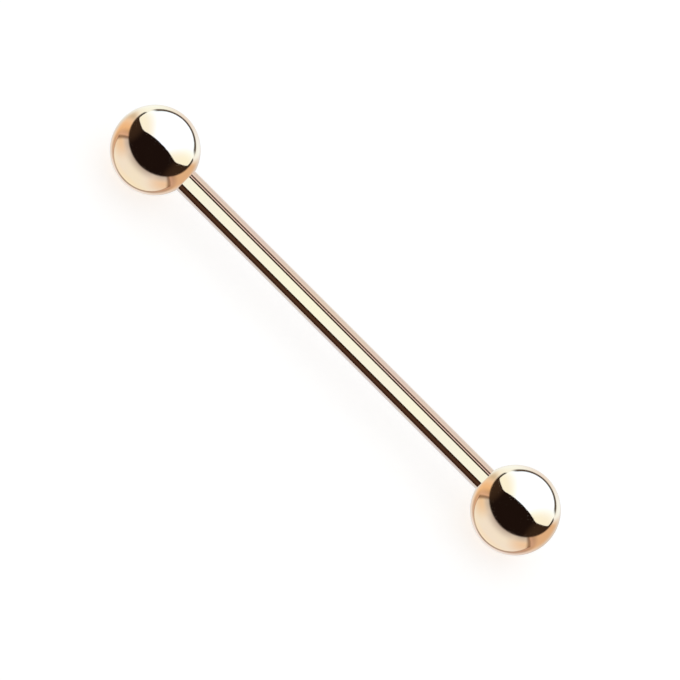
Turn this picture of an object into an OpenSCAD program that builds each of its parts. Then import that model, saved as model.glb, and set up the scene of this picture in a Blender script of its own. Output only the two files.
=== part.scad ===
// Industrial barbell: a straight polished bar with a plain ball screwed on each end.
// The bar runs along X with its middle at the origin. It lies on its two balls, with +Z up.

/* [Bar] */
// Diameter of the bar, 14 gauge
bar_d = 1.6; // [1.2:0.1:2]
// Length of bar that shows between the two balls
bar_l = 25.5; // [16:0.5:45]

/* [Balls] */
// Diameter of each ball
ball_d = 5.5; // [5:0.5:8]
// Width of the bevel round the mouth of each ball's hole
mouth_bevel = 0.04; // [0.02:0.01:0.08]

/* [Thread] */
// Distance from one turn of the thread to the next
pitch = 0.35; // [0.25:0.05:0.4]
// Number of turns on each end of the bar
turns = 7; // [4:1:8]
// Radial gap between the bar and the wall of the ball's hole
running_gap = 0.02; // [0.02:0.01:0.05]

/* [Hidden] */
$fn = 96;

bar_r = bar_d / 2;
ball_r = ball_d / 2;

// The sharp crests lie a little under the bar's own radius, and the thread is 0.61 of its pitch deep.
crest_r = bar_r - 0.01;
root_r = crest_r - 0.61 * pitch;
root_w = pitch / 8;
flank_w = (pitch - root_w) / 2;

// How far a ball's surface lies from its centre along the bar, at distance r from the bar's axis
function ball_face(r) = sqrt(ball_r * ball_r - r * r);

// The bar's full diameter goes this far into the ball, so that no thread shows at the mouth.
seat_depth = 0.12;
neck_l = 0.08; // from the full diameter down to the thread's root
tip_l = 0.2; // plain end past the last turn

ball_x = bar_l / 2 + ball_face(bar_r);
shank_x = bar_l / 2 + seat_depth;
thread_x = shank_x + neck_l;
tip_x = thread_x + turns * pitch + tip_l;

// The hole is drilled past the bar's tip and ends in the cone of a 118 degree drill.
drill_angle = 118;
hole_r = bar_r + running_gap;
hole_x = tip_x + 0.2;
drill_x = hole_x + hole_r / tan(drill_angle / 2);
mouth_r = hole_r + mouth_bevel;
mouth_x = ball_x - ball_face(mouth_r);
drill_start_x = mouth_x - 1;

bar_colour = [0.93, 0.72, 0.58];
ball_colour = [0.90, 0.68, 0.54];

// The outline of one turn, as [distance from the axis, distance along the bar], from its root at x
function turn_outline(x) = [
    [root_r, x],
    [crest_r, x + flank_w],
    [root_r, x + 2 * flank_w],
];

// The outline of the bar's +X half. The thread stands as plain rings, one for each turn.
right_half = concat(
    [[bar_r, shank_x], [root_r, thread_x]],
    [for (i = [0:turns - 1]) each turn_outline(thread_x + root_w / 2 + i * pitch)],
    [[root_r, tip_x], [0, tip_x]]
);

// The same outline for the other half, from the tip in
left_half = [for (i = [len(right_half) - 1:-1:0]) [right_half[i][0], -right_half[i][1]]];

// Spins an outline round the X axis
module spin(outline) {
    rotate([0, 90, 0])
        rotate_extrude()
            polygon(outline);
}

module bar() {
    color(bar_colour)
        spin(concat(left_half, right_half));
}

// A ball on the +X side, with the hole that takes the bar's threaded end
module ball() {
    color(ball_colour)
        difference() {
            translate([ball_x, 0, 0]) sphere(d = ball_d);
            spin([
                [0, drill_start_x],
                [mouth_r, drill_start_x],
                [mouth_r, mouth_x],
                [hole_r, mouth_x + mouth_bevel],
                [hole_r, hole_x],
                [0, drill_x],
            ]);
        }
}

module ball_left() {
    mirror([1, 0, 0]) ball();
}

module ball_right() {
    ball();
}

bar();
ball_left();
ball_right();
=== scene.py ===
# Looks of the barbell: polished rose-gold steel on a pale floor, seen as in the photograph.
import math
import bmesh
import bpy
from mathutils import Matrix, Vector


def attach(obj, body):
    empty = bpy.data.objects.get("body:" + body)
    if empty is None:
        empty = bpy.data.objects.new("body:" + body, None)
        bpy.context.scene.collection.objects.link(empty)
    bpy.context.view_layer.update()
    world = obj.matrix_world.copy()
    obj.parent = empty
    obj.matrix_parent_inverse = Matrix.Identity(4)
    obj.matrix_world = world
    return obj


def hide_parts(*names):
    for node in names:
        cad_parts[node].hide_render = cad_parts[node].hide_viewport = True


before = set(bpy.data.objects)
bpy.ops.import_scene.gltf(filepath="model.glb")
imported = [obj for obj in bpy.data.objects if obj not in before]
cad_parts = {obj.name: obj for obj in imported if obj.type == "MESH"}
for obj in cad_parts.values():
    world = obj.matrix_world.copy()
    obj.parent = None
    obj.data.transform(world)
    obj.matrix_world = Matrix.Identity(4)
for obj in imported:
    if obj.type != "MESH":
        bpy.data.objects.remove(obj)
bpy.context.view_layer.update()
scene = bpy.context.scene
print("frame loaded:", ", ".join(sorted(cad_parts)))

mm = 0.001


# A socket of a node tree. Sums and products of signals add Math nodes, and node() adds any other.
class Signal:
    def __init__(self, tree, socket=None):
        self.tree = tree
        self.socket = socket

    def node(self, kind, settings, sockets, output=0):
        made = self.tree.nodes.new("ShaderNode" + kind)
        for name, value in settings.items():
            setattr(made, name, value)
        for name, value in sockets.items():
            if isinstance(value, Signal):
                self.tree.links.new(value.socket, made.inputs[name])
            else:
                made.inputs[name].default_value = value
        return Signal(self.tree, made.outputs[output] if made.outputs else None)

    def maths(self, operation, a, b=0.0):
        return self.node("Math", {"operation": operation}, {0: a, 1: b})

    def __add__(self, other):
        return self.maths("ADD", self, other)

    def __sub__(self, other):
        return self.maths("SUBTRACT", self, other)

    def __rsub__(self, other):
        return self.maths("SUBTRACT", other, self)

    def __mul__(self, other):
        return self.maths("MULTIPLY", self, other)

    def __abs__(self):
        return self.maths("ABSOLUTE", self)

    __radd__ = __add__
    __rmul__ = __mul__

    # low where the signal is at first, high where it is at last, and smooth between them. Either of
    # first and last may be the larger.
    def rise(self, first, last, low=0.0, high=1.0):
        ends = {"From Min": first, "From Max": last, "To Min": low, "To Max": high}
        return self.node("MapRange", {"interpolation_type": "SMOOTHSTEP"}, {"Value": self, **ends})

    # The colour under where the signal is 0, and the colour over where it is 1
    def blend(self, under, over):
        return self.node("Mix", {"data_type": "RGBA"}, {0: self, 6: under, 7: over}, 2)

    def noise(self, scale, detail, roughness):
        grain = {"Scale": scale, "Detail": detail, "Roughness": roughness}
        return self.node("TexNoise", {}, {"Vector": self, **grain})


def newMaterial(name):
    material = bpy.data.materials.new(name)
    material.use_nodes = True
    material.node_tree.nodes.clear()
    return material, Signal(material.node_tree)


# The place on a piece, in millimetres
def placeOn(start):
    position = start.node("TexCoord", {}, {}, "Object")
    return start.node("VectorMath", {"operation": "SCALE"}, {0: position, "Scale": 1 / mm})


# Gives a material bare metal, with the height of its fine relief in millimetres
def makeMetal(start, colour, roughness, height):
    bump = start.node("Bump", {}, {"Height": height * mm, "Strength": 1.0, "Distance": 1.0})
    metal = start.node("BsdfPrincipled", {}, {
        "Base Color": colour,
        "Roughness": roughness,
        "Metallic": 1.0,
        "Normal": bump,
    })
    start.node("OutputMaterial", {}, {"Surface": metal})


# Polished metal. Each noise is given as (scale per mm, detail, roughness), and each fade as the
# values of the noise where it starts and ends.

polish = {
    "colour": (0.94, 0.73, 0.535, 1),  # warm side of the rose gold coating
    "pinkColour": (0.93, 0.71, 0.55, 1),  # where the coating is a little thicker
    "pinkNoise": (0.35, 1.0, 0.5),
    "pinkFade": (0.35, 0.65),
    "roughness": 0.045,
    "haze": 0.03,  # added in the dull patches that handling leaves
    "hazeNoise": (0.8, 4.0, 0.6),
    "hazeFade": (0.5, 0.75),
    "wave": 0.0009,  # mm, the slow unevenness that hand polishing leaves
    "waveNoise": (0.45, 1.0, 0.4),
    "scratchRoughness": 0.10,
    "scratchDepth": 0.00012,  # mm
    "scratchNoise": (1.0, 2.0, 0.5),
    "scratchFade": (0.62, 0.74),
    # sets of hairlines, as (turn, stretch, shift): long one way, a few hundredths of a mm wide
    "scratches": (
        ((0.0, 0.0, 0.0), (0.25, 22.0, 22.0), (3.1, 0.0, 7.0)),
        ((0.4, 0.9, 0.5), (0.5, 30.0, 30.0), (11.0, 5.0, 2.0)),
        ((1.2, 0.3, 2.1), (0.6, 26.0, 26.0), (1.0, 17.0, 9.0)),
    ),
}


def makePolish():
    material, start = newMaterial("polished_rose_gold")
    place = placeOn(start)
    hairlines = []
    for turn, stretch, shift in polish["scratches"]:
        laid = {"Vector": place, "Rotation": turn, "Scale": stretch, "Location": shift}
        grain = start.node("Mapping", {}, laid).noise(*polish["scratchNoise"])
        hairlines.append(grain.rise(*polish["scratchFade"]))
    scratches = sum(hairlines).rise(0.0, 1.0)
    haze = place.noise(*polish["hazeNoise"]).rise(*polish["hazeFade"])
    wave = place.noise(*polish["waveNoise"])
    pink = place.noise(*polish["pinkNoise"]).rise(*polish["pinkFade"])
    colour = pink.blend(polish["colour"], polish["pinkColour"])
    roughness = haze * polish["haze"] + scratches * polish["scratchRoughness"] + polish["roughness"]
    height = wave * polish["wave"] - scratches * polish["scratchDepth"]
    makeMetal(start, colour, roughness, height)
    return material


# Metal as the threading tool leaves it, with painted shade in the roots of the thread and deep in a
# bore

cutting = {
    "colour": (0.82, 0.60, 0.42, 1),
    "stain": (0.62, 0.42, 0.27, 1),  # patches where the coating is thinner
    "stainNoise": (1.6, 4.0, 0.6),
    "stainFade": (0.4, 0.75),
    "rootShadeColour": (0.20, 0.12, 0.07, 1),  # painted shade, darkest in the roots of the thread where the tool cut deepest
    "rootFade": 0.05,  # mm, over which that ends with the thread
    "deepColour": (0.03, 0.017, 0.01, 1),  # no light comes far into a bore
    "roughness": 0.22,
    "lineRoughness": 0.14,
    "lineDepth": 0.0006,  # mm, the tool's own fine rings
    "lineStretch": (60.0, 0.8, 0.8),
    "lineNoise": (1.0, 2.0, 0.5),
    "lineFade": (0.35, 0.65),
}


# The colour darkens with painted shade from the crests' radius to the roots', as far along the bar
# as rootsEnd. Where deep is given, as two distances along the bar, painted shade darkens it all
# over from the first to the second.
def makeCutting(name, crestRadius, rootRadius, rootsEnd, deep=None):
    material, start = newMaterial(name)
    place = placeOn(start)
    lines = start.node("Mapping", {}, {"Vector": place, "Scale": cutting["lineStretch"]})
    lines = lines.noise(*cutting["lineNoise"]).rise(*cutting["lineFade"])
    stain = place.noise(*cutting["stainNoise"]).rise(*cutting["stainFade"])
    across = start.node("VectorMath", {"operation": "MULTIPLY"}, {0: place, 1: (0.0, 1.0, 1.0)})
    radius = start.node("VectorMath", {"operation": "LENGTH"}, {0: across}, "Value")
    along = abs(start.node("SeparateXYZ", {}, {"Vector": place}, "X"))
    # painted shade in the roots of the thread
    rootShadeMask = radius.rise(crestRadius, rootRadius)
    rootShadeMask = rootShadeMask * along.rise(rootsEnd, rootsEnd - cutting["rootFade"])
    colour = stain.blend(cutting["colour"], cutting["stain"])
    colour = rootShadeMask.blend(colour, cutting["rootShadeColour"])
    # painted shade deep in a bore
    if deep:
        colour = along.rise(*deep).blend(colour, cutting["deepColour"])
    roughness = lines * cutting["lineRoughness"] + cutting["roughness"]
    makeMetal(start, colour, roughness, lines * cutting["lineDepth"])
    return material


polished = makePolish()
print("polished finish made")


# Shapes. All of it is worked in millimetres along X and brought to metres at the end.

shaping = {
    "merge": 0.0005,  # corners this close become one
    "near": 0.001,  # a corner this close counts as lying on a ring
    "sharpAngle": 28,  # degrees, past which an edge stays sharp
}
thread = {
    "pitch": 0.35,
    "rootFlat": 0.044,
    "crestFlat": 0.016,
    "steps": 64,  # faces in one turn
    "merge": 0.002,  # corners of two turns this close become one
    "fade": 0.14,  # the thread runs in and out over this length
    "join": 0.02,  # from its end to the plain wall
}


# Joins points, given as (along the bar, from its axis)
def makeChain(shape, points):
    corners = [shape.verts.new((x, 0, r)) for x, r in points]
    return corners + [shape.edges.new(pair) for pair in zip(corners, corners[1:])]


# Spins a chain round the X axis, into a closed ring or, if it travels, into a winding skin
def spinRound(shape, chain, steps, turns=1, travel=0):
    bmesh.ops.spin(shape, geom=chain, cent=(0, 0, 0), axis=(1, 0, 0), dvec=(travel, 0, 0),
                   angle=math.tau * turns, steps=steps * turns, use_merge=travel == 0,
                   use_duplicate=False)


def mergeCorners(shape, reach):
    bmesh.ops.remove_doubles(shape, verts=shape.verts, dist=reach)


def everything(shape):
    return shape.verts[:] + shape.edges[:] + shape.faces[:]


def turnRound(shape, corners):
    halfTurn = Matrix.Rotation(math.pi, 3, "Z")
    bmesh.ops.rotate(shape, verts=corners, cent=(0, 0, 0), matrix=halfTurn)


# A right-handed thread as one winding skin from x0 to x1, which fades to plainRadius at both ends
def windThread(shape, x0, x1, plainRadius, farRadius):
    pitch = thread["pitch"]
    crest = thread["crestFlat"] / 2
    foot = (pitch - thread["rootFlat"]) / 2
    outline = [
        (-pitch / 2, plainRadius),
        (-foot, plainRadius),
        (-crest, farRadius),
        (crest, farRadius),
        (foot, plainRadius),
        (pitch / 2, plainRadius),
    ]
    skin = bmesh.new()
    chain = makeChain(skin, [(x0 - pitch + x, r) for x, r in outline])
    turns = math.ceil((x1 - x0) / pitch) + 2  # one to spare at each end
    spinRound(skin, chain, thread["steps"], turns, pitch / thread["steps"])
    mergeCorners(skin, thread["merge"])
    for x, side in ((x0, -1), (x1, 1)):
        bmesh.ops.bisect_plane(skin, geom=everything(skin), dist=shaping["merge"],
                               plane_co=(x, 0, 0), plane_no=(side, 0, 0), clear_outer=True)
    for corner in skin.verts:
        near = min(corner.co.x - x0, x1 - corner.co.x) / thread["fade"]
        share = max(0.0, min(1.0, near))
        radius = math.hypot(corner.co.y, corner.co.z)
        wanted = plainRadius + (radius - plainRadius) * share * share * (3 - 2 * share)
        corner.co.y *= wanted / radius
        corner.co.z *= wanted / radius
    part = bpy.data.meshes.new("thread")
    skin.to_mesh(part)
    skin.free()
    shape.from_mesh(part)
    bpy.data.meshes.remove(part)


# Closes the ring between the open loops at x0 and x1
def bridgeRims(shape, x0, x1):
    low, high = x0 - shaping["near"], x1 + shaping["near"]
    rims = [e for e in shape.edges
            if e.is_boundary and all(low < v.co.x < high for v in e.verts)]
    bmesh.ops.bridge_loops(shape, edges=rims)


# Rounds the ring of edges at x along the bar and r from its axis
def bevelRing(shape, x, r, width, segments):
    def onRing(corner):
        offAxis = math.hypot(corner.co.y, corner.co.z)
        return abs(corner.co.x - x) < shaping["near"] and abs(offAxis - r) < shaping["near"]

    ring = [e for e in shape.edges if len(e.link_faces) == 2 and all(map(onRing, e.verts))]
    bmesh.ops.bevel(shape, geom=ring, offset=width, offset_type="OFFSET", affect="EDGES",
                    segments=segments, profile=0.5, material=-1)


# Tidies a finished shape, gives the faces that isCut picks the finish cut, and makes its object
def finishPiece(shape, name, body, turned, isCut, cut):
    mergeCorners(shape, shaping["merge"])
    bmesh.ops.recalc_face_normals(shape, faces=shape.faces)
    for face in shape.faces:
        face.smooth = True
        face.material_index = 1 if isCut(face.calc_center_median()) else 0
    if turned:
        turnRound(shape, shape.verts)
    bmesh.ops.scale(shape, verts=shape.verts, vec=(mm, mm, mm))
    openEdges = sum(e.is_boundary for e in shape.edges)
    mesh = bpy.data.meshes.new(name)
    shape.to_mesh(mesh)
    shape.free()
    mesh.set_sharp_from_angle(angle=math.radians(shaping["sharpAngle"]))
    mesh.materials.append(polished)
    mesh.materials.append(cut)
    piece = bpy.data.objects.new(name, mesh)
    scene.collection.objects.link(piece)
    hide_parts(body)
    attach(piece, body)
    print(name, "made,", len(mesh.polygons), "faces,", openEdges, "open edges")
    return piece


# Bar

rod = {
    "radius": 0.8,  # 14 gauge
    "shankEnd": 12.87,  # the full diameter ends just inside the ball
    "cutFrom": 12.90,  # the polish ends on the shoulder
    "neckEnd": 12.95,
    "threadFrom": 12.97,
    "threadTo": 15.40,
    "tipEnd": 15.60,
    "rootRadius": 0.5765,
    "crestRadius": 0.79,
    "shoulderBevel": 0.02,
    "shoulderSegments": 3,
    "tipBevel": 0.07,
    "tipSegments": 4,
    "holdingLoop": 0.01,  # a loop this far from each bevel keeps the long faces' shading straight
    "steps": 128,
}


# Half the bar, and the same turned round for the other half
def makeBar():
    shape = bmesh.new()
    shoulderLoop = rod["shoulderBevel"] + rod["holdingLoop"]
    tipLoop = rod["tipBevel"] + rod["holdingLoop"]
    tipFrom = rod["threadTo"] + thread["join"]
    spinRound(shape, makeChain(shape, [
        (0, rod["radius"]),
        (rod["shankEnd"] - shoulderLoop, rod["radius"]),
        (rod["shankEnd"], rod["radius"]),
        (rod["neckEnd"], rod["rootRadius"]),
    ]), rod["steps"])
    bevelRing(shape, rod["shankEnd"], rod["radius"], rod["shoulderBevel"], rod["shoulderSegments"])
    spinRound(shape, makeChain(shape, [
        (tipFrom, rod["rootRadius"]),
        (rod["tipEnd"] - tipLoop, rod["rootRadius"]),
        (rod["tipEnd"], rod["rootRadius"]),
        (rod["tipEnd"], rod["rootRadius"] - tipLoop),
        (rod["tipEnd"], 0),
    ]), rod["steps"])
    mergeCorners(shape, shaping["merge"])
    bevelRing(shape, rod["tipEnd"], rod["rootRadius"], rod["tipBevel"], rod["tipSegments"])
    windThread(shape, rod["threadFrom"], rod["threadTo"], rod["rootRadius"], rod["crestRadius"])
    bridgeRims(shape, rod["neckEnd"], rod["threadFrom"])
    bridgeRims(shape, rod["threadTo"], tipFrom)
    other = bmesh.ops.duplicate(shape, geom=everything(shape))["geom"]
    turnRound(shape, [v for v in other if isinstance(v, bmesh.types.BMVert)])
    cut = makeCutting("cut_thread", rod["crestRadius"], rod["rootRadius"], tipFrom)

    def onEnd(place):
        return abs(place.x) > rod["cutFrom"]

    return finishPiece(shape, "polished_bar", "bar", False, onEnd, cut)


barPiece = makeBar()


# Balls

bead = {
    "radius": 2.75,
    "centre": 15.381,
    "mouthRadius": 0.86,
    "mouthCone": 0.04,  # from the mouth to the hole
    "mouthBevel": 0.012,
    "mouthSegments": 3,
    "polishDepth": 0.02,  # deeper than this in the ball, the metal is as the tool left it
    "holeRadius": 0.82,
    "grooveRadius": 1.02,
    "threadFrom": 12.85,
    "threadTo": 15.55,
    "holeEnd": 15.80,
    "drillAngle": 118,
    "deep": (12.8, 14.4),  # the bore's painted shade deepens from the first to the second
    "steps": 160,
    "arcSteps": 96,
}
tapped = makeCutting("tapped_bore", bead["holeRadius"], bead["grooveRadius"], bead["holeEnd"],
                     bead["deep"])


def makeBall(name, body, turned):
    shape = bmesh.new()
    # A point on the far pole swings round the ball's middle to the mouth, from where a short cone
    # leads to the hole, and the whole line spins round the bar's axis.
    pole = shape.verts.new((bead["centre"] + bead["radius"], 0, 0))
    mouthAngle = math.asin(bead["mouthRadius"] / bead["radius"])
    swung = bmesh.ops.spin(shape, geom=[pole], cent=(bead["centre"], 0, 0), axis=(0, -1, 0),
                           dvec=(0, 0, 0), angle=math.pi - mouthAngle, steps=bead["arcSteps"],
                           use_merge=False, use_duplicate=False)
    mouth = [g for g in swung["geom_last"] if isinstance(g, bmesh.types.BMVert)][0]
    mouthX = mouth.co.x
    coneEnd = mouthX + bead["mouthCone"]
    lip = bmesh.ops.extrude_vert_indiv(shape, verts=[mouth])["verts"][0]
    lip.co = (coneEnd, 0, bead["holeRadius"])
    spinRound(shape, shape.verts[:] + shape.edges[:], bead["steps"])
    mergeCorners(shape, shaping["merge"])
    bevelRing(shape, mouthX, bead["mouthRadius"], bead["mouthBevel"], bead["mouthSegments"])
    plainFrom = bead["threadTo"] + thread["join"]
    drillDepth = bead["holeRadius"] / math.tan(math.radians(bead["drillAngle"] / 2))
    spinRound(shape, makeChain(shape, [
        (plainFrom, bead["holeRadius"]),
        (bead["holeEnd"], bead["holeRadius"]),
        (bead["holeEnd"] + drillDepth, 0),
    ]), bead["steps"])
    windThread(shape, bead["threadFrom"], bead["threadTo"],
               bead["holeRadius"], bead["grooveRadius"])
    bridgeRims(shape, coneEnd, bead["threadFrom"])
    bridgeRims(shape, bead["threadTo"], plainFrom)
    middle = Vector((bead["centre"], 0, 0))

    def inHole(place):
        return (place - middle).length < bead["radius"] - bead["polishDepth"]

    return finishPiece(shape, name, body, turned, inHole, tapped)


leftPiece = makeBall("polished_ball_left", "ball_left", True)
rightPiece = makeBall("polished_ball_right", "ball_right", False)
# The photograph shows neither the bar nor the other ball in a ball's mirror.
for piece in (barPiece, leftPiece, rightPiece):
    piece.visible_glossy = False


# Floor and sky

# Gives a shape in metres to a new object that isn't part of the barbell
def makeStage(name, shape, material):
    mesh = bpy.data.meshes.new(name)
    shape.to_mesh(mesh)
    shape.free()
    mesh.materials.append(material)
    piece = bpy.data.objects.new(name, mesh)
    scene.collection.objects.link(piece)
    return piece


floor = {
    "z": -2.751 * mm,  # just under the balls
    "halfWidth": 4.0,
    "colour": (0.85, 0.85, 0.85, 1),
    "grainColour": (0.86, 0.86, 0.86, 1),
    "grainNoise": (900.0, 3.0, 0.5),  # scale per metre, detail, roughness
    "grainFade": (0.3, 0.7),
    "roughness": 0.9,
    "sky": 0.6,  # the light from all round that the balls and bar shade
    "glow": 0.54,  # the even light of the table itself
}


# A lit table, so that shadows on it stay faint. The metal sees the studio below instead of it.
def makeFloor():
    material, start = newMaterial("pale_floor")
    position = start.node("TexCoord", {}, {}, "Object")
    grain = position.noise(*floor["grainNoise"]).rise(*floor["grainFade"])
    surface = start.node("BsdfPrincipled", {}, {
        "Base Color": grain.blend(floor["colour"], floor["grainColour"]),
        "Roughness": floor["roughness"],
        "Specular IOR Level": 0.0,
        "Emission Color": (1, 1, 1, 1),
        "Emission Strength": floor["glow"],
    })
    start.node("OutputMaterial", {}, {"Surface": surface})
    material.cycles.emission_sampling = "NONE"
    shape = bmesh.new()
    bmesh.ops.create_grid(shape, x_segments=1, y_segments=1, size=floor["halfWidth"],
                          matrix=Matrix.Translation((0, 0, floor["z"])))
    table = makeStage("floor", shape, material)
    table.visible_glossy = False
    return table


table = makeFloor()

world = bpy.data.worlds.new("studio")
scene.world = world
world.use_nodes = True
background = world.node_tree.nodes["Background"]
background.inputs["Color"].default_value = (1, 1, 1, 1)
background.inputs["Strength"].default_value = floor["sky"]
world.cycles_visibility.glossy = False
world.cycles.sampling_method = "NONE"


# What the balls mirror: a white tent over a pale table, open towards the camera, and a dim room in
# front of it. They are painted on a dome by the way that they lie from the barbell, with x to the
# side, y away from the camera and z up. Both sides are folded together, so that x is never
# negative. Only side tells them apart, and names with left or right hold on that side alone.
#
# An edge is a plane through the barbell, given by the way that faces into what it bounds. Spans say
# where a patch shows, as (measure, its value where the patch is weakest, where it is strongest),
# and then how weak and how strong where that isn't 0 and 1.

tent = {
    "radius": 6.0,  # wider than the bar's panels, or the dome would hide them from the bar
    "segments": (64, 32),
    "turn": (0.0, -0.015, -0.013),  # the studio stands a little askew to the bar
    "white": (1.15, 1.56, 2.10, 1),  # cool enough to be white in rose gold
    "cream": (1.04, 1.20, 1.17, 1),
    "creamWay": (1.0, -0.45, -0.2),  # the cloth turns cream this way, low down at the sides
    "creamSpans": (("creamWay", 0.1, 0.72),),
    "edges": (
        (0.0, 1.0, 0.318),  # roof
        (-0.163, 0.908, 0.513),  # upper part of the sides
        (-0.163, 0.377, 0.394),  # middle
        (-0.155, 0.330, 0.450),  # lower part
        (-0.047, 0.057, 1.0),  # hem, which has to be the last
    ),
    "edgeBlur": 0.006,
    "hemLine": (0.08, 0.06, 0.04, 1),
    "hemLineEnd": (-1.0, 1.0, 0.0),
    "hemLineSkew": 0.08,  # it goes on further at the right
    "hemLineSpans": (("hem", -0.12, -0.024), ("hem", 0.16, 0.05), ("hemLineEnd", 0.0, 0.24)),
}
tableTop = {
    "middleBlur": 0.1,  # where left turns into right
    # the near half, warmer at its sides and greyer towards its front
    "near": (0.95, 1.03, 1.03, 1),
    "nearSide": (0.90, 0.75, 0.57, 1),
    "nearSideSpans": (("x", 0.4, 0.9), ("z", 0.0, -0.5)),
    "front": (0.45, 0.43, 0.44, 1),
    "frontSpans": (("y", -0.35, -1.05), ("z", -0.60, 0.0)),
    "cornerSpans": (("x", 0.6, 0.9), ("z", -0.45, -0.15, 0.0, 0.6)),
    "below": (0.99, 1.01, 0.90, 1),
    "belowSpans": (("z", -0.8, -1.0),),
    # the far half, tan at its sides and pale close behind the barbell
    "tanEdge": (0.331, 0.798, 0.503),
    "farHalfSpans": (("border", -0.01, 0.02),),
    "tanLeft": (0.92, 0.64, 0.38, 1),
    "tanRight": (0.77, 0.555, 0.37, 1),
    "shadow": (0, 0, 0, 1),
    "shadowWay": (0.0, -1.0, -0.5),
    "shadowSpans": (("shadowWay", 0.0, 0.4, 0.0, 0.75),),
    "rimLeft": (0.80, 0.56, 0.42, 1),
    "rimRight": (0.68, 0.47, 0.36, 1),
    "tanSpans": (("border", 0.0, 0.25),),
    "under": (0.88, 0.90, 0.92, 1),
    "besideSpans": (("x", 0.1, 0.45),),
    "closeLeft": (0.77, 0.81, 0.83, 1),
    "closeRight": (0.76, 0.76, 0.75, 1),
    "closeBelow": (0.96, 0.96, 1.00, 1),
    "closeWay": (0.0, 0.643, -0.766),
    "closeSpans": (("closeWay", 0.62, 1.0),),
    "closeBackSpans": (("y", 0.30, 0.45),),
    # the dark line between the halves, and the ring below the barbell
    "line": (0.24, 0.15, 0.09, 1),
    "shortLineSpans": (("tan", -0.13, -0.02), ("tan", 0.05, -0.01), ("z", -0.68, -0.55),
                       ("y", 0.15, 0.05, 0.0, 0.85)),
    "longLineSpans": (("y", -0.035, 0.0), ("y", 0.035, 0.0), ("z", -0.5, -0.65, 0.0, 0.8)),
    "ringSpans": (("y", -0.11, 0.04), ("y", 0.19, 0.04), ("z", -0.75, -0.92),
                  ("x", 0.0, 0.6, 1.0, 0.25), ("side", -0.35, 0.0, 0.5, 0.85)),
    # the pale back
    "farEdgeLeft": (-0.262, 0.785, 0.576),
    "farEdgeRight": (-0.417, 0.676, 0.716),
    "farLeftSpans": (("farEdgeLeft", -0.35, 0.35),),
    "farRightSpans": (("farEdgeRight", -0.11, 0.11),),
    "farMiddle": (0.89, 0.91, 0.91, 1),
    "farSideSpans": (("x", 0.0, 0.45),),
    "farLeft": (1.02, 1.23, 1.30, 1),
    "farRight": (1.00, 1.19, 1.33, 1),
    "shadeLeft": (0.42, 0.35, 0.20, 1),
    "shadeLeftSpans": (("farEdgeLeft", -0.17, 0.0), ("farEdgeLeft", 0.17, 0.0),
                       ("z", 0.1, -0.3, 0.0, 0.5)),
}
room = {
    "colour": (0.012, 0.007, 0.006, 1),
    "side": (0.040, 0.025, 0.016, 1),
    "sideSpans": (("x", 0.75, 1.0),),
    "edge": (-0.03, 0.0, 1.0),
    "spans": (("roomEdge", -0.175, -0.075), ("y", 0.68, 0.62)),
}


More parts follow.
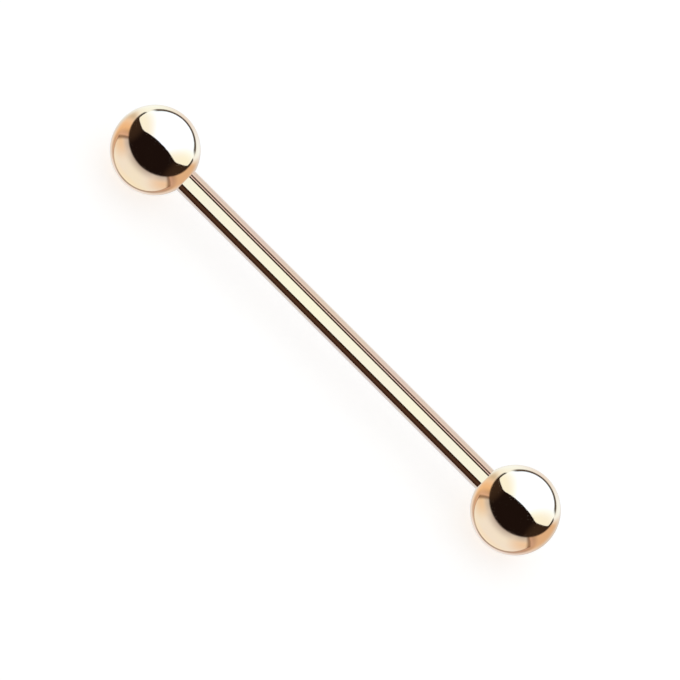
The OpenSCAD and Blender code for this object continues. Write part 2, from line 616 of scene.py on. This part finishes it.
def makeTent():
    material, start = newMaterial("tent")
    way = start.node("TexCoord", {}, {}, "Object")
    way = start.node("VectorMath", {"operation": "NORMALIZE"}, {0: way})
    way = start.node("Mapping", {}, {"Vector": way, "Rotation": tent["turn"]})
    side, y, z = (start.node("SeparateXYZ", {}, {"Vector": way}, axis) for axis in "XYZ")
    x = abs(side)

    def facing(edge):
        return x * edge[0] + y * edge[1] + z * edge[2]

    tan = facing(tableTop["tanEdge"])
    tentEdges = [facing(edge) for edge in tent["edges"]]
    measures = {
        "side": side,
        "x": x,
        "y": y,
        "z": z,
        "tan": tan,
        "border": start.maths("MAXIMUM", tan, y),
        "shadowWay": facing(tableTop["shadowWay"]),
        "closeWay": facing(tableTop["closeWay"]),
        "farEdgeLeft": facing(tableTop["farEdgeLeft"]),
        "farEdgeRight": facing(tableTop["farEdgeRight"]),
        "roomEdge": facing(room["edge"]),
        "creamWay": facing(tent["creamWay"]),
        "hem": tentEdges[-1],
        "hemLineEnd": facing(tent["hemLineEnd"]) + side * tent["hemLineSkew"],
    }

    def patch(spans):
        return math.prod(measures[name].rise(*span) for name, *span in spans)

    def onSides(name):
        return right.blend(tableTop[name + "Left"], tableTop[name + "Right"])

    right = side.rise(-tableTop["middleBlur"], tableTop["middleBlur"])
    left = 1 - right
    close = patch(tableTop["closeSpans"])
    # the near half of the table
    colour = patch(tableTop["nearSideSpans"]).blend(tableTop["near"], tableTop["nearSide"])
    front = patch(tableTop["frontSpans"]) + patch(tableTop["cornerSpans"])
    colour = front.blend(colour, tableTop["front"])
    colour = patch(tableTop["belowSpans"]).blend(colour, tableTop["below"])
    # the far half
    tanned = patch(tableTop["shadowSpans"]).blend(onSides("tan"), tableTop["shadow"])
    behind = patch(tableTop["tanSpans"]).blend(onSides("rim"), tanned)
    behind = patch(tableTop["besideSpans"]).blend(tableTop["under"], behind)
    pale = patch(tableTop["closeBackSpans"]).blend(tableTop["closeBelow"], onSides("close"))
    behind = close.blend(behind, pale)
    colour = patch(tableTop["farHalfSpans"]).blend(colour, behind)
    # the dark line and ring
    longLine = patch(tableTop["longLineSpans"]) * (1 - close)
    dark = patch(tableTop["shortLineSpans"]) + longLine + patch(tableTop["ringSpans"])
    colour = dark.blend(colour, tableTop["line"])
    # the back
    far = patch(tableTop["farLeftSpans"]) * left + patch(tableTop["farRightSpans"]) * right
    pale = patch(tableTop["farSideSpans"]).blend(tableTop["farMiddle"], onSides("far"))
    colour = far.blend(colour, pale)
    shade = patch(tableTop["shadeLeftSpans"]) * left * (1 - close)
    colour = shade.blend(colour, tableTop["shadeLeft"])
    # the room beyond the table's front and sides
    dim = patch(room["sideSpans"]).blend(room["colour"], room["side"])
    colour = patch(room["spans"]).blend(colour, dim)
    # the tent itself, and the dark line of its hem at the back
    blur = tent["edgeBlur"]
    inside = math.prod(edge.rise(-blur, blur) for edge in tentEdges)
    cloth = patch(tent["creamSpans"]).blend(tent["white"], tent["cream"])
    colour = inside.blend(colour, cloth)
    colour = patch(tent["hemLineSpans"]).blend(colour, tent["hemLine"])
    glow = start.node("Emission", {}, {"Color": colour, "Strength": 1.0})
    start.node("OutputMaterial", {}, {"Surface": glow})
    material.cycles.emission_sampling = "NONE"
    shape = bmesh.new()
    around, upwards = tent["segments"]
    bmesh.ops.create_uvsphere(shape, u_segments=around, v_segments=upwards, radius=tent["radius"])
    dome = makeStage("tent", shape, material)
    dome.visible_camera = dome.visible_diffuse = dome.visible_shadow = False
    dome.visible_transmission = dome.visible_volume_scatter = False
    mirrors = bpy.data.collections.new("balls_alone")
    for piece in (leftPiece, rightPiece, table):
        mirrors.objects.link(piece)
    dome.light_linking.receiver_collection = mirrors


makeTent()


# Light panels that the bar alone mirrors, as (first angle, last angle, colour). Angles go from the
# camera's side of the floor, 0, over the top, 90, to the far side, 180, and below the floor they
# are negative or past 180.
barLight = {
    "distance": 0.3,
    "halfWidth": 4.0,
    "panels": {
        "frontTable": (-125, -58, (0.74, 0.82, 0.95)),
        "frontDim": (-54, 0, (0.05, 0.022, 0.012)),
        "frontGleam": (-32, -14, (0.03, 0.025, 0.02)),
        "cream": (7, 91, (1.02, 1.26, 1.32)),
        "topDim": (91, 106, (0.05, 0.04, 0.03)),
        "line": (107, 115, (0.95, 0.85, 0.95)),
        "backDim": (117, 129, (0.1, 0.07, 0.05)),
        "backGleam": (131, 152, (0.09, 0.02, 0.0)),
        "backTan": (131, 178, (0.757, 0.79, 0.86)),
        "backTable": (179, 232, (0.86, 0.90, 0.98)),
    },
}


def makeBarLight():
    receivers = bpy.data.collections.new("bar_alone")
    receivers.objects.link(barPiece)
    for name, (first, last, colour) in barLight["panels"].items():
        middle = math.radians((first + last) / 2)
        high = 2 * barLight["distance"] * math.tan(math.radians(last - first) / 2)
        wide = 2 * barLight["halfWidth"]
        lamp = bpy.data.lights.new("bar_" + name, "AREA")
        lamp.shape = "RECTANGLE"
        lamp.size = wide
        lamp.size_y = high
        lamp.color = colour
        lamp.energy = wide * high * math.pi  # mirrored, it then shows its own colour
        holder = bpy.data.objects.new("bar_" + name, lamp)
        scene.collection.objects.link(holder)
        away = Vector((0, -math.cos(middle), math.sin(middle))) * barLight["distance"]
        facingBar = Matrix.Rotation(math.pi / 2 - middle, 4, "X")
        holder.matrix_world = Matrix.Translation(away) @ facingBar
        holder.visible_camera = False
        holder.light_linking.receiver_collection = receivers


makeBarLight()
print("floor, tent and lights made")


# Camera

view = {
    "height": 50,  # degrees above the floor
    "roll": 45,
    "frameWidth": 41.07 * mm,
    "aimRight": 0.284 * mm,  # from the bar's middle to the picture's middle
    "aimUp": -0.601 * mm,
    "lens": 900,  # long, because both balls in the photograph are seen from the same side
    "sensor": 36,
    "clip": (0.01, 20),
}


def makeCamera():
    lens = bpy.data.cameras.new("camera")
    lens.lens = view["lens"]
    lens.sensor_width = view["sensor"]
    lens.clip_start, lens.clip_end = view["clip"]
    height, roll = math.radians(view["height"]), math.radians(view["roll"])
    back = Vector((0, -math.cos(height), math.sin(height)))
    level = Vector((1, 0, 0))
    upright = Vector((0, math.sin(height), math.cos(height)))
    right = level * math.cos(roll) + upright * math.sin(roll)
    up = upright * math.cos(roll) - level * math.sin(roll)
    distance = view["frameWidth"] * view["lens"] / view["sensor"]
    place = right * view["aimRight"] + up * view["aimUp"] + back * distance
    holder = bpy.data.objects.new("camera", lens)
    scene.collection.objects.link(holder)
    turn = Matrix((right, up, back)).transposed()
    holder.matrix_world = Matrix.Translation(place) @ turn.to_4x4()
    scene.camera = holder


makeCamera()
scene.view_settings.view_transform = "Standard"
print("camera set")
